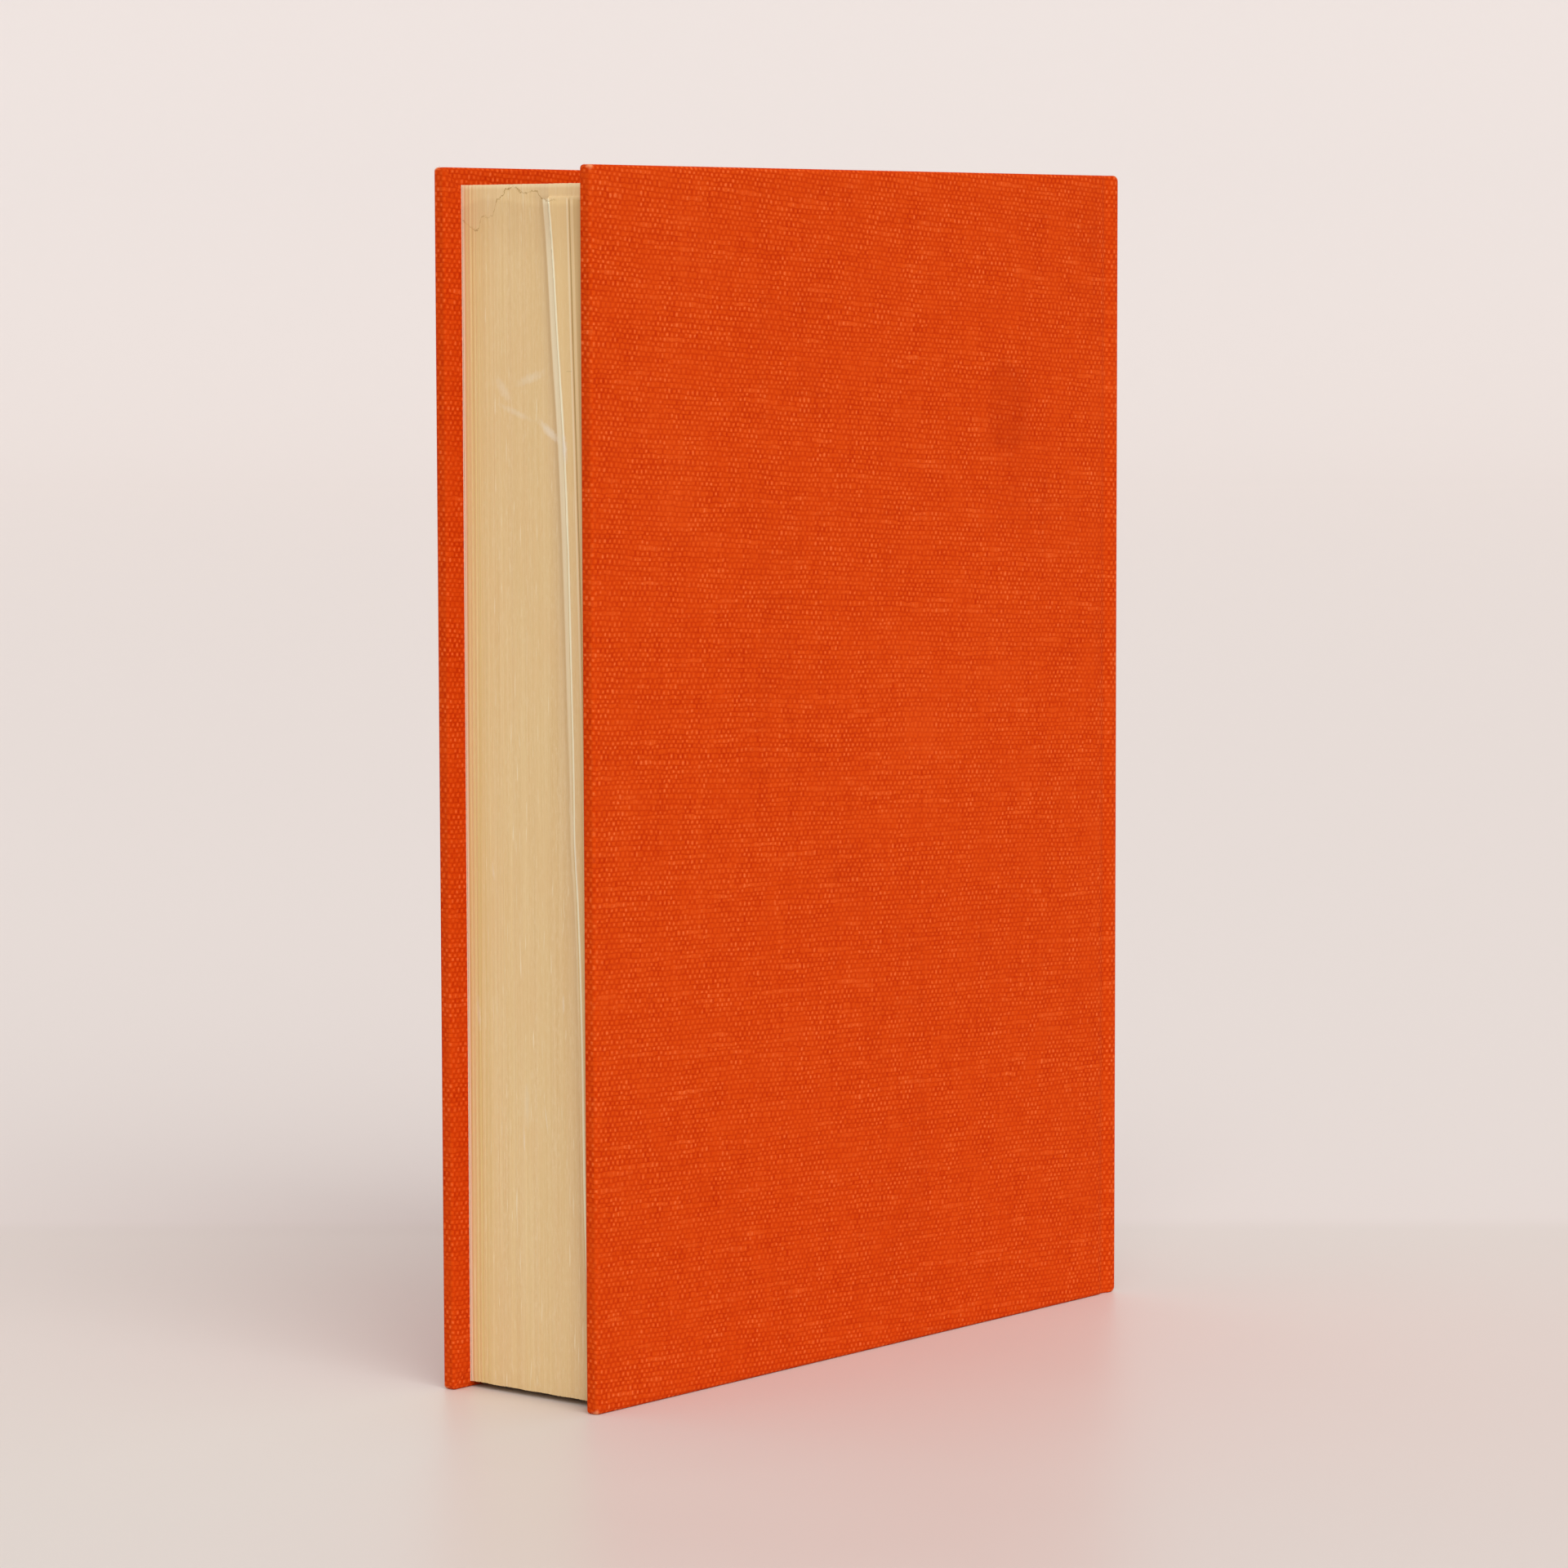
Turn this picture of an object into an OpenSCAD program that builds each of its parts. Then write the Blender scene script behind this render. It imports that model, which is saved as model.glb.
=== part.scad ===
// A cloth-covered case-bound book with a square back, standing on its tail edge.
// +Z runs from tail to head, +X from spine to fore-edge, and the back cover faces +Y.
// The origin is the middle of the footprint, on the surface that the book stands on.

/* [Book] */
// Height of the covers, tail to head
height = 205; // [170:1:260]
// Width of the closed book, spine to fore-edge
width = 143.5; // [110:0.5:190]
// Thickness of the closed book over both covers
thickness = 35; // [24:0.5:60]

/* [Case] */
// Thickness of the cover boards
board_t = 1.8; // [1.2:0.1:3]
// Thickness of the covering cloth
cloth_t = 0.35; // [0.3:0.05:0.6]
// Width of the cloth turned in over the board edges
turn_in = 14; // [8:1:20]
// Thickness of the card that stiffens the spine
inlay_t = 1.2; // [0.8:0.1:2]
// Outer corner radius along the spine's two long edges
spine_round = 0.7; // [0.6:0.05:1]
// Corner radius at the spine's head and tail, seen from a cover
spine_corner = 1.2; // [0.8:0.1:1.5]
// Gap that the cloth bridges between the spine card and a board
joint_gap = 4; // [3:0.1:7]
// Depth that the cloth sinks to in the middle of that gap
joint_dip = 0.5; // [0.1:0.1:1]

/* [Page block] */
// Height of the covers above the pages at the head
head_square = 2.9; // [2:0.1:5]
// Height of the pages above the covers' tail edges
tail_square = 1; // [1:0.1:5]
// Depth of the pages' edges inside the covers' fore-edges
fore_square = 4.1; // [2:0.1:6]
// Thickness of the endpapers
paper_t = 0.15; // [0.1:0.01:0.3]
// Margin of cloth that a pasted endpaper leaves free round its board
paste_margin = 4.4; // [2:0.1:6]
// Free space between the lined back of the pages and the case's spine
hollow_gap = 0.1; // [0.05:0.05:1]

/* [Loose last leaves] */
// Thickness of the group of last leaves that stands proud at the fore-edge, near the head
loose_top = 10; // [3:0.5:12]
// Thickness of that group where it ends, lower down
loose_foot = 3.8; // [0.4:0.1:5]
// Distance of the group's upper end below the head of the pages
loose_drop = 2.2; // [1:0.1:5]
// Length of the group down the fore-edge
loose_length = 145; // [60:1:150]
// Distance by which the group stands proud of the other leaves
loose_proud = 0.4; // [0.2:0.1:1]

/* [Spine lining] */
// Thickness of the gauze and of the band tapes glued to the back of the pages
gauze_t = 0.25; // [0.15:0.05:0.3]
// Distance of the gauze from the cloth turned in at the head and tail
gauze_margin = 5; // [1:1:20]
// Width of the gauze's flap on each board
gauze_flap = 22; // [15:1:30]
// Thickness of the paper strip that lines the back of the pages
lining_t = 0.15; // [0.1:0.05:0.3]
// Radius of the corded bead of the head and tail bands
bead_r = 0.4; // [0.3:0.05:0.45]
// Length of the bands' tape down the back of the pages
tape_length = 9; // [5:0.5:12]

/* [Hidden] */

// Overlap of a cutting shape beyond the face that it cuts
cut = 1;
// Two places nearer than this are the same place
tiny = 0.001;
// Short straight segments that make up the sunk cloth of a joint
dip_steps = 16;
// Short segments that make up a rounded spine edge
round_steps = 6;

cloth_colour = "#d5460f";
page_colour = "#d9b681";
paper_colour = "#e6d3ac";
board_colour = "#a08c6c";
card_colour = "#b59c74";
gauze_colour = "#e4dcc8";

// Depths below the outer face of a cover
board_in = cloth_t + board_t;
turned_in = board_in + cloth_t;
paste_in = turned_in + paper_t;
leaf_in = paste_in + paper_t;

// Depths in the joint below the cloth's outer face: two cloths, then paper
joint_paper_in = 2 * cloth_t;

// Places along X, from the spine to the fore-edge
spine_x = -width / 2;
fore_x = width / 2;
inlay_out_x = spine_x + cloth_t;
inlay_in_x = inlay_out_x + inlay_t;
turned_x = inlay_in_x + cloth_t;
board_x = inlay_in_x + joint_gap;
wall_x = board_x - cloth_t;
hinge_x = inlay_in_x + joint_gap / 2;
lining_x = turned_x + hollow_gap;
gauze_x = lining_x + lining_t;
pages_x = gauze_x + gauze_t;
pages_fore_x = fore_x - fore_square;

// Places along Z, from the tail to the head
pages_z = tail_square;
pages_top = height - head_square;
gauze_z = [turn_in + gauze_margin, height - turn_in - gauze_margin];

// Places across Y, counted from the middle
half_t = thickness / 2;
half_pages = half_t - leaf_in;

// Inner radius of the cloth round the spine's long edges
inner_round = spine_round - cloth_t;

// Place along X where a segment of the sunk cloth begins, and the cloth's depth there
function dip_x(i) = inlay_in_x + joint_gap * i / dip_steps;
function dip_depth(i) = joint_dip * (1 - cos(360 * i / dip_steps)) / 2;

// Depth of the cloth's outer face below the cover's face, at a place along X
function dip(x) =
    let (i = floor(dip_steps * (x - inlay_in_x) / joint_gap))
    let (share = (x - dip_x(i)) / (dip_x(i + 1) - dip_x(i)))
    dip_depth(i) + (dip_depth(i + 1) - dip_depth(i)) * share;

// Places along a part of the joint where one segment gives way to the next, with both ends
function steps(from, to) = concat([from],
    [for (i = [1 : dip_steps - 1]) if (dip_x(i) > from + tiny && dip_x(i) < to - tiny) dip_x(i)], [to]);

// Points of a rounded corner about a centre, from the side at Y to the side at X
function corner(cx, cy, r) =
    [for (i = [0 : round_steps]) let (a = 270 - 90 * i / round_steps) [cx + r * cos(a), cy + r * sin(a)]];

function reversed(points) = [for (i = [len(points) - 1 : -1 : 0]) points[i]];

// A block between two places along each axis
module block(x, y, z) {
    translate([x[0], y[0], z[0]])
        cube([x[1] - x[0], y[1] - y[0], z[1] - z[0]]);
}

// A block on the front cover, with its Y given as depths below the outer face
module layer(x, depth, z) {
    block(x, [depth[0] - half_t, depth[1] - half_t], z);
}

// The same things at the tail and at the head
module both_ends(length) {
    for (z = [0, height - length])
        translate([0, 0, z]) linear_extrude(length) children();
}

// What is made at the front is repeated at the back
module at_back() {
    mirror([0, 1, 0]) children();
}

// Outline of a layer along the joint of the front cover, sunk as the outer cloth is
module joint_strip(from, to, depth, thick) {
    xs = steps(from, to);
    outer = [for (x = xs) [x, dip(x) + depth - half_t]];
    inner = [for (x = xs) [x, dip(x) + depth + thick - half_t]];
    polygon(concat(outer, reversed(inner)));
}

// Outline of a layer that stands across the front cover's thickness
module joint_wall(x, depth) {
    translate([x[0], depth[0] - half_t]) square([x[1] - x[0], depth[1] - depth[0]]);
}

// The same, standing on a layer of the sunk cloth that lies at some depth
module wall_on_cloth(x, depth, top) {
    joint_wall(x, [max(dip(x[0]), dip(x[1])) + depth, top]);
}

// The shape of the closed case seen from a cover, drawn in by a margin
module case_side(margin) {
    r = spine_corner - margin;
    low = margin;
    high = height - margin;
    rotate([90, 0, 0]) translate([0, 0, -thickness]) linear_extrude(2 * thickness) {
        translate([spine_x + spine_corner, low]) square([width, high - low]);
        translate([spine_x + margin, low + r]) square([width, high - low - 2 * r]);
        for (z = [low + r, high - r])
            translate([spine_x + spine_corner, z]) circle(r, $fn = 48);
    }
}

// Outline of the spine's card, rounded where the cloth turns round it
module inlay_outline() {
    cx = inlay_out_x + inner_round;
    cy = cloth_t + inner_round - half_t;
    edge = concat([[inlay_in_x, cloth_t - half_t]], corner(cx, cy, inner_round));
    far_edge = [for (p = reversed(edge)) [p[0], -p[1]]];
    polygon(concat(edge, far_edge));
}

// Outline of the cloth that goes round the outside of the spine's card
module spine_wrap_outline() {
    cx = spine_x + spine_round;
    cy = spine_round - half_t;
    edge = concat([[inlay_in_x, -half_t]], corner(cx, cy, spine_round));
    far_edge = [for (p = reversed(edge)) [p[0], -p[1]]];
    difference() {
        polygon(concat(edge, far_edge));
        inlay_outline();
    }
}

// Outline of the cloth that is folded in behind the spine's card
module spine_turn_outline() {
    translate([inlay_in_x, cloth_t - half_t])
        square([cloth_t, thickness - 2 * cloth_t]);
    for (side = [0, 1]) mirror([0, side])
        joint_strip(inlay_in_x, hinge_x, cloth_t, cloth_t);
}

module text_block() {
    color(page_colour) {
        block([pages_x, pages_fore_x], [-half_pages, half_pages], [pages_z, pages_top]);
        loose_leaves();
    }
}

// The last leaves stand a little proud of the others, from near the head to a point lower down
module loose_leaves() {
    top = pages_top - loose_drop;
    foot = top - loose_length;
    side = [
        [half_pages, foot],
        [half_pages, top],
        [half_pages - loose_top, top],
        [half_pages - loose_foot, foot]
    ];
    translate([pages_fore_x - cut, 0, 0])
        rotate([90, 0, 90]) linear_extrude(loose_proud + cut) polygon(side);
}

// The free leaf of an endpaper, folded at the pages' back and led down onto the joint's cloth
module flyleaf() {
    color(paper_colour) {
        layer([pages_x, pages_fore_x], [paste_in, leaf_in], [pages_z, pages_top]);
        translate([0, 0, pages_z]) linear_extrude(pages_top - pages_z) {
            wall_on_cloth([pages_x, pages_x + paper_t], joint_paper_in, leaf_in);
            joint_strip(pages_x, hinge_x, joint_paper_in, paper_t);
        }
    }
}

module front_flyleaf() { flyleaf(); }
module back_flyleaf() { at_back() flyleaf(); }

// A band at the head end of the pages' back: a bead on the edge and a tape below it
module band() {
    color(gauze_colour) {
        block([gauze_x, pages_x], [-half_pages, half_pages], [pages_top - tape_length, pages_top]);
        translate([gauze_x + bead_r, half_pages, pages_top + bead_r])
            rotate([90, 0, 0]) cylinder(h = 2 * half_pages, r = bead_r, $fn = 32);
        block([gauze_x, gauze_x + bead_r], [-half_pages, half_pages], [pages_top, pages_top + bead_r]);
    }
}

module headband() { band(); }

module tailband() {
    translate([0, 0, pages_top + pages_z]) mirror([0, 0, 1]) band();
}

// What is extruded over the gauze's height
module gauze_height() {
    translate([0, 0, gauze_z[0]]) linear_extrude(gauze_z[1] - gauze_z[0]) children();
}

module spine_gauze() {
    color(gauze_colour) {
        block([gauze_x, pages_x], [-half_pages, half_pages], gauze_z);
        gauze_height() for (side = [0, 1]) mirror([0, side]) {
            wall_on_cloth([gauze_x, pages_x], cloth_t, leaf_in);
            joint_strip(gauze_x, hinge_x, cloth_t, gauze_t);
        }
    }
}

module spine_lining() {
    color(card_colour)
        block([lining_x, gauze_x], [-half_pages, half_pages], [pages_z, pages_top]);
}

module spine_inlay() {
    color(card_colour) intersection() {
        translate([0, 0, cloth_t]) linear_extrude(height - 2 * cloth_t) inlay_outline();
        case_side(cloth_t);
    }
}

// The cloth goes round the card and both its ends, and is turned in behind it
module spine_cloth() {
    color(cloth_colour) {
        difference() {
            intersection() {
                linear_extrude(height) {
                    spine_wrap_outline();
                    inlay_outline();
                }
                case_side(0);
            }
            spine_inlay();
        }
        linear_extrude(height)
            for (side = [0, 1]) mirror([0, side]) joint_strip(inlay_in_x, hinge_x, 0, cloth_t);
        both_ends(turn_in) spine_turn_outline();
    }
}

module board() {
    color(board_colour)
        layer([board_x, fore_x - cloth_t], [cloth_t, board_in], [cloth_t, height - cloth_t]);
}

module front_board() { board(); }
module back_board() { at_back() board(); }

// The cloth lies on the outer face, goes round three edges and is turned in behind the board
module cover_cloth() {
    color(cloth_colour) {
        linear_extrude(height) joint_strip(hinge_x, board_x, 0, cloth_t);
        both_ends(turn_in) joint_strip(hinge_x, board_x, cloth_t, cloth_t);
        both_ends(turn_in) joint_wall([wall_x, board_x], [cloth_t, turned_in]);
        difference() {
            layer([board_x, fore_x], [0, turned_in], [0, height]);
            layer([board_x - cut, fore_x - cloth_t], [cloth_t, board_in],
                [cloth_t, height - cloth_t]);
            layer([board_x - cut, fore_x - turn_in], [board_in, turned_in + cut],
                [turn_in, height - turn_in]);
        }
    }
}

module front_cover_cloth() { cover_cloth(); }
module back_cover_cloth() { at_back() cover_cloth(); }

// The gauze goes on along the joint, up the board's edge and over its inner face
module gauze_flap_on_board() {
    gauze_in = board_in + gauze_t;
    color(gauze_colour) gauze_height() {
        joint_strip(hinge_x, board_x, cloth_t, gauze_t);
        wall_on_cloth([board_x - gauze_t, board_x], cloth_t, gauze_in);
        joint_wall([board_x - gauze_t, board_x + gauze_flap], [board_in, gauze_in]);
    }
}

module front_gauze_flap() { gauze_flap_on_board(); }
module back_gauze_flap() { at_back() gauze_flap_on_board(); }

// The pasted leaf of an endpaper covers the turned-in cloth, sinks onto the board and the gauze
// between, and goes down the board's edge onto the joint's cloth
module pastedown() {
    out_x = fore_x - paste_margin;
    window_x = fore_x - turn_in;
    flap_x = board_x + gauze_flap;
    low = paste_margin;
    high = height - paste_margin;
    window_low = turn_in;
    window_high = height - turn_in;
    gauze_in = board_in + gauze_t;
    color(paper_colour) difference() {
        union() {
            translate([0, 0, low]) linear_extrude(high - low) {
                joint_strip(hinge_x, wall_x, joint_paper_in, paper_t);
                wall_on_cloth([wall_x - paper_t, wall_x], joint_paper_in, paste_in);
                joint_wall([wall_x - paper_t, out_x], [turned_in, paste_in]);
            }
            layer([board_x, window_x], [board_in, paste_in], [window_low, window_high]);
        }
        layer([flap_x + paper_t, window_x - paper_t], [board_in + paper_t, paste_in + cut],
            [window_low + paper_t, window_high - paper_t]);
        layer([board_x - cut, flap_x], [board_in - cut, gauze_in], gauze_z);
    }
}

module front_pastedown() { pastedown(); }
module back_pastedown() { at_back() pastedown(); }

text_block();
front_flyleaf();
back_flyleaf();
headband();
tailband();
spine_gauze();
spine_lining();
spine_inlay();
spine_cloth();
front_board();
front_cover_cloth();
front_gauze_flap();
front_pastedown();
back_board();
back_cover_cloth();
back_gauze_flap();
back_pastedown();
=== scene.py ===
"""Looks of a cloth-covered reference book that stands on its tail edge.

+Z runs from tail to head and +X from spine to fore-edge. The back cover faces +Y, and it is
the one that the photograph shows. Lengths are in metres. Places inside the woven cloth, and
those on the pages' edges, are in millimetres, because threads and leaves are that fine.
"""
import math

import bmesh
import bpy
import numpy as np
from mathutils import Matrix, Vector


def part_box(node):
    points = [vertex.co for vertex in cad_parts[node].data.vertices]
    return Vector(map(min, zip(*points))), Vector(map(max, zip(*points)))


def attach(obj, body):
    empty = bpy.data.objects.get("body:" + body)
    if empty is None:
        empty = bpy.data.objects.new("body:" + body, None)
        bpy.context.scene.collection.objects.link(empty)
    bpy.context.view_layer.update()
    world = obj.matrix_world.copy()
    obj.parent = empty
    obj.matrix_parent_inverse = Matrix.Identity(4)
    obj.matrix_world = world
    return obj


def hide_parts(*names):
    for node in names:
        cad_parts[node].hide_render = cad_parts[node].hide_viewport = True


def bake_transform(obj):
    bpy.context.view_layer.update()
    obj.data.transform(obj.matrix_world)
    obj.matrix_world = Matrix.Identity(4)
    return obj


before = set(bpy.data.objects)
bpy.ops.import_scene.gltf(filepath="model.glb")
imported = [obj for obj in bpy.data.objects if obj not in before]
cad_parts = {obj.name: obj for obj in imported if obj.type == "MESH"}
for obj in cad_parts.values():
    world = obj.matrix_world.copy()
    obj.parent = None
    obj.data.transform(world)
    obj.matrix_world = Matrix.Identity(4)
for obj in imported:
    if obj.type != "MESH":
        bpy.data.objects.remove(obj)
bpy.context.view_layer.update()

MM = 0.001

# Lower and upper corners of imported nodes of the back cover, and of what lies between the covers
cover_low, cover_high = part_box("back_cover_cloth")
board_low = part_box("back_board")[0]
paste_low, paste_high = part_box("back_pastedown")
leaf_low, leaf_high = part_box("back_flyleaf")
pages_low, pages_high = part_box("text_block")
case_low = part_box("spine_cloth")[0]
card_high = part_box("spine_inlay")[1]
flap_low, flap_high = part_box("back_gauze_flap")
band_low, band_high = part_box("headband")

# Places along X
SPINE = case_low.x
CARD_IN = card_high.x
BOARD = board_low.x
FORE = cover_high.x
PAGES_BACK = pages_low.x
PAGES_FORE = leaf_high.x

# Heights, and places across Y counted from the middle
HEAD = cover_high.z
PAGES_HEAD = pages_high.z
PAGES_TAIL = pages_low.z
HALF = cover_high.y
HALF_PAGES = pages_high.y

# Thicknesses and the sunk joint
CLOTH = board_low.z - cover_low.z
COVER = HALF - cover_low.y
PAPER = cover_low.y - paste_low.y
JOINT_GAP = BOARD - CARD_IN
JOINT_DIP = 0.5 * MM
TURN_IN = 14 * MM
SPINE_ROUND = 0.7 * MM
SPINE_END_ROUND = 1.2 * MM
EDGE_ROUND = 0.65 * MM
# Share of its thickness that a sheet gets, so that it stays clear of what it is glued to
SHEET_SHARE = 0.9


def dip(x):
    """Depth of the cloth's outer face below the cover's face, at a place along X."""
    share = np.clip((x - CARD_IN) / JOINT_GAP, 0, 1)
    return JOINT_DIP * (1 - np.cos(2 * math.pi * share)) / 2


def smooth_step(value, low, high):
    """0 below low, 1 above high, and a smooth rise between."""
    share = np.clip((value - low) / (high - low), 0, 1)
    return share * share * (3 - 2 * share)


class Nodes:
    """Builds one material, with a short call for each node. The functions below call theirs n."""

    def __init__(self, name):
        self.material = bpy.data.materials.new(name)
        self.material.use_nodes = True
        self.tree = self.material.node_tree
        self.tree.nodes.clear()

    def add(self, kind, **settings):
        node = self.tree.nodes.new("ShaderNode" + kind)
        for key, value in settings.items():
            setattr(node, key, value)
        return node

    def put(self, socket, value):
        """Links an output to a socket, or sets the socket to a plain value."""
        if isinstance(value, bpy.types.NodeSocket):
            self.tree.links.new(value, socket)
        elif value is not None:
            socket.default_value = value

    def math(self, operation, a, b=None):
        node = self.add("Math", operation=operation)
        for socket, value in zip(node.inputs, (a, b)):
            self.put(socket, value)
        return node.outputs[0]

    def plus(self, a, b):
        return self.math("ADD", a, b)

    def minus(self, a, b):
        return self.math("SUBTRACT", a, b)

    def times(self, a, b):
        return self.math("MULTIPLY", a, b)

    def step(self, value, low, high):
        """0 at low, 1 at high, and a smooth rise between. Low may be above high."""
        node = self.add("MapRange", interpolation_type="SMOOTHSTEP")
        for socket, number in zip(node.inputs, (value, low, high, 0.0, 1.0)):
            self.put(socket, number)
        return node.outputs[0]

    def split(self, vector):
        node = self.add("SeparateXYZ")
        self.put(node.inputs[0], vector)
        return node.outputs[0], node.outputs[1], node.outputs[2]

    def join(self, x, y, z=0.0):
        node = self.add("CombineXYZ")
        for socket, value in zip(node.inputs, (x, y, z)):
            self.put(socket, value)
        return node.outputs[0]

    def place(self):
        """The place on the resting book, in millimetres."""
        node = self.add("VectorMath", operation="SCALE")
        self.put(node.inputs[0], self.add("TexCoord").outputs["Object"])
        node.inputs["Scale"].default_value = 1 / MM
        return self.split(node.outputs[0])

    def flat(self):
        """The place on the sheet as it was before it was folded round the book, in millimetres."""
        return self.split(self.add("UVMap", uv_map="flat").outputs[0])

    def noise(self, x, y, z, scale, detail=2.0, roughness=0.5):
        """Noise from 0 to 1 that is stretched by scale, three sizes in millimetres. On a flat sheet,
        z only sets one noise apart from another."""
        parts = [self.times(p, 1 / s) if isinstance(p, bpy.types.NodeSocket) else p / s
                 for p, s in zip((x, y, z), scale)]
        node = self.add("TexNoise")
        self.put(node.inputs["Vector"], self.join(*parts))
        node.inputs["Scale"].default_value = 1.0
        node.inputs["Detail"].default_value = detail
        node.inputs["Roughness"].default_value = roughness
        return node.outputs[0]

    def wave(self, value, amount):
        """Noise from 0 to 1 made into a change of plus or minus amount."""
        return self.times(self.minus(value, 0.5), 2 * amount)

    def mix(self, share, a, b):
        node = self.add("Mix", data_type="RGBA")
        for name, value in (("Factor_Float", share), ("A_Color", a), ("B_Color", b)):
            socket = next(s for s in node.inputs if s.identifier == name)
            self.put(socket, value)
        return next(s for s in node.outputs if s.identifier == "Result_Color")

    def tint(self, base, share, strength, shade):
        """The base colour, changed to a shade by share times strength."""
        return self.mix(self.times(share, strength), base, colour(*shade))

    def curve(self, value, points, low, high):
        """A line through points (value, result). The results lie between low and high."""
        first, last = points[0][0], points[-1][0]
        node = self.add("FloatCurve")
        share = self.times(self.minus(value, first), 1 / (last - first))
        self.put(node.inputs["Value"], self.math("MAXIMUM", self.math("MINIMUM", share, 1.0), 0.0))
        line = node.mapping.curves[0]
        for number, (x, y) in enumerate(points):
            spot = ((x - first) / (last - first), (y - low) / (high - low))
            if number in (0, len(points) - 1):
                line.points[-1 if number else 0].location = spot
            else:
                line.points.new(*spot)
        node.mapping.update()
        return self.plus(self.times(node.outputs[0], high - low), low)

    def bump(self, height, distance, strength):
        node = self.add("Bump")
        self.put(node.inputs["Height"], height)
        node.inputs["Distance"].default_value = distance
        node.inputs["Strength"].default_value = strength
        return node.outputs[0]

    def finish(self, colour, roughness, normal=None, **even):
        """Ends in one Principled shader. What is even all over is set on its own sockets."""
        shader = self.add("BsdfPrincipled")
        self.put(shader.inputs["Base Color"], colour)
        self.put(shader.inputs["Roughness"], roughness)
        self.put(shader.inputs["Normal"], normal)
        for name, value in even.items():
            shader.inputs[name.replace("_", " ")].default_value = value
        self.put(self.add("OutputMaterial").inputs["Surface"], shader.outputs[0])
        return self.material


def colour(red, green, blue):
    """A colour given as a picture's 0 to 255 values, made linear."""
    def linear(value):
        value /= 255
        return value / 12.92 if value <= 0.04045 else ((value + 0.055) / 1.055) ** 2.4
    return linear(red), linear(green), linear(blue), 1.0


# Pitch of the cloth's threads in millimetres: across the cover, and from tail to head. The wefts were
# laid a little off the square, and rise towards the back cover's fore-edge by this share.
WARP = 0.58
WEFT = 0.84
SLANT = 0.059
# How far a warp leans within one weft, as a share of its pitch
LEAN = 0.1
# Stains on the back cover: place along X, height, half width and half height in millimetres
STAINS = [(-39.0, 164.0, 6.5, 8.5)]


def thread_places(n, u, v):
    """Where a place lies among the warps and the wefts, which wander a little."""
    wander_u = n.plus(n.wave(n.noise(u, v, 1.0, (9, 30, 1)), 0.4),
                      n.wave(n.noise(u, v, 1.0, (1.3, 2.3, 1)), 0.26))
    wander_v = n.plus(n.wave(n.noise(u, v, 4.0, (24, 5, 1)), 0.6),
                      n.wave(n.noise(u, v, 4.0, (1.9, 1.2, 1)), 0.36))
    weft_at = n.times(n.plus(n.plus(v, n.times(u, -SLANT)), wander_v), 1 / WEFT)
    lean = n.times(n.minus(n.math("FRACT", weft_at), 0.5), LEAN)
    warp_at = n.plus(n.times(n.plus(u, wander_u), 1 / WARP), lean)
    return warp_at, weft_at


def weave(n, u, v, fibre):
    """Plain weave with slubs. Returns its height, its raised floats, and its colour with painted shade where
    the threads dip and painted highlights on the floats.
    """
    warp_at, weft_at = thread_places(n, u, v)
    warp = n.math("FLOOR", warp_at)
    weft = n.math("FLOOR", weft_at)

    # A warp lies over one weft and under the next, and its neighbours do the opposite
    crossing = n.times(n.math("SINE", n.times(warp_at, math.pi)), n.math("SINE", n.times(weft_at, math.pi)))
    warp_bulk = n.noise(n.times(warp, 3.7), v, 1.0, (1, 7, 1), 3.0)
    weft_bulk = n.noise(u, n.times(weft, 2.9), 1.0, (9, 1, 1), 3.0)
    single = n.noise(n.times(warp, 5.3), n.times(weft, 7.1), 1.0, (1, 1, 1), 0.0)
    single = n.times(n.wave(single, 0.5), n.math("ABSOLUTE", crossing))
    bulk = n.plus(n.wave(warp_bulk, 0.28), n.wave(weft_bulk, 0.24))
    side = n.minus(n.times(n.math("FRACT", weft_at), 2.0), 1.0)
    row = n.minus(n.math("SQRT", n.math("MAXIMUM", n.minus(1.0, n.times(side, side)), 0.0)), 0.78)
    height = n.plus(n.plus(n.times(crossing, 0.36), n.times(row, 0.55)), single)
    height = n.plus(height, n.plus(bulk, n.wave(fibre, 0.2)))

    # Painted shade where the warps dive and a painted highlight on their floats, stronger in some places than
    # in others
    crisp = n.step(n.noise(u, v, 38.0, (5, 8, 1), 2.0), 0.28, 0.66)
    base = n.mix(n.step(height, -0.55, 0.45), colour(193, 46, 0), colour(227, 80, 13))
    bead = n.step(height, 0.2, 0.65)
    # Painted highlight on the raised floats
    base = n.mix(n.times(bead, n.plus(n.times(crisp, 0.34), 0.16)), base, colour(255, 130, 74))
    slub = n.times(n.step(weft_bulk, 0.58, 0.72), n.step(crossing, 0.2, -0.5))
    base = n.tint(base, slub, 0.4, (240, 100, 38))
    base = n.tint(base, n.minus(1.0, crisp), 0.4, (218, 70, 9))
    return height, bead, base


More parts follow.
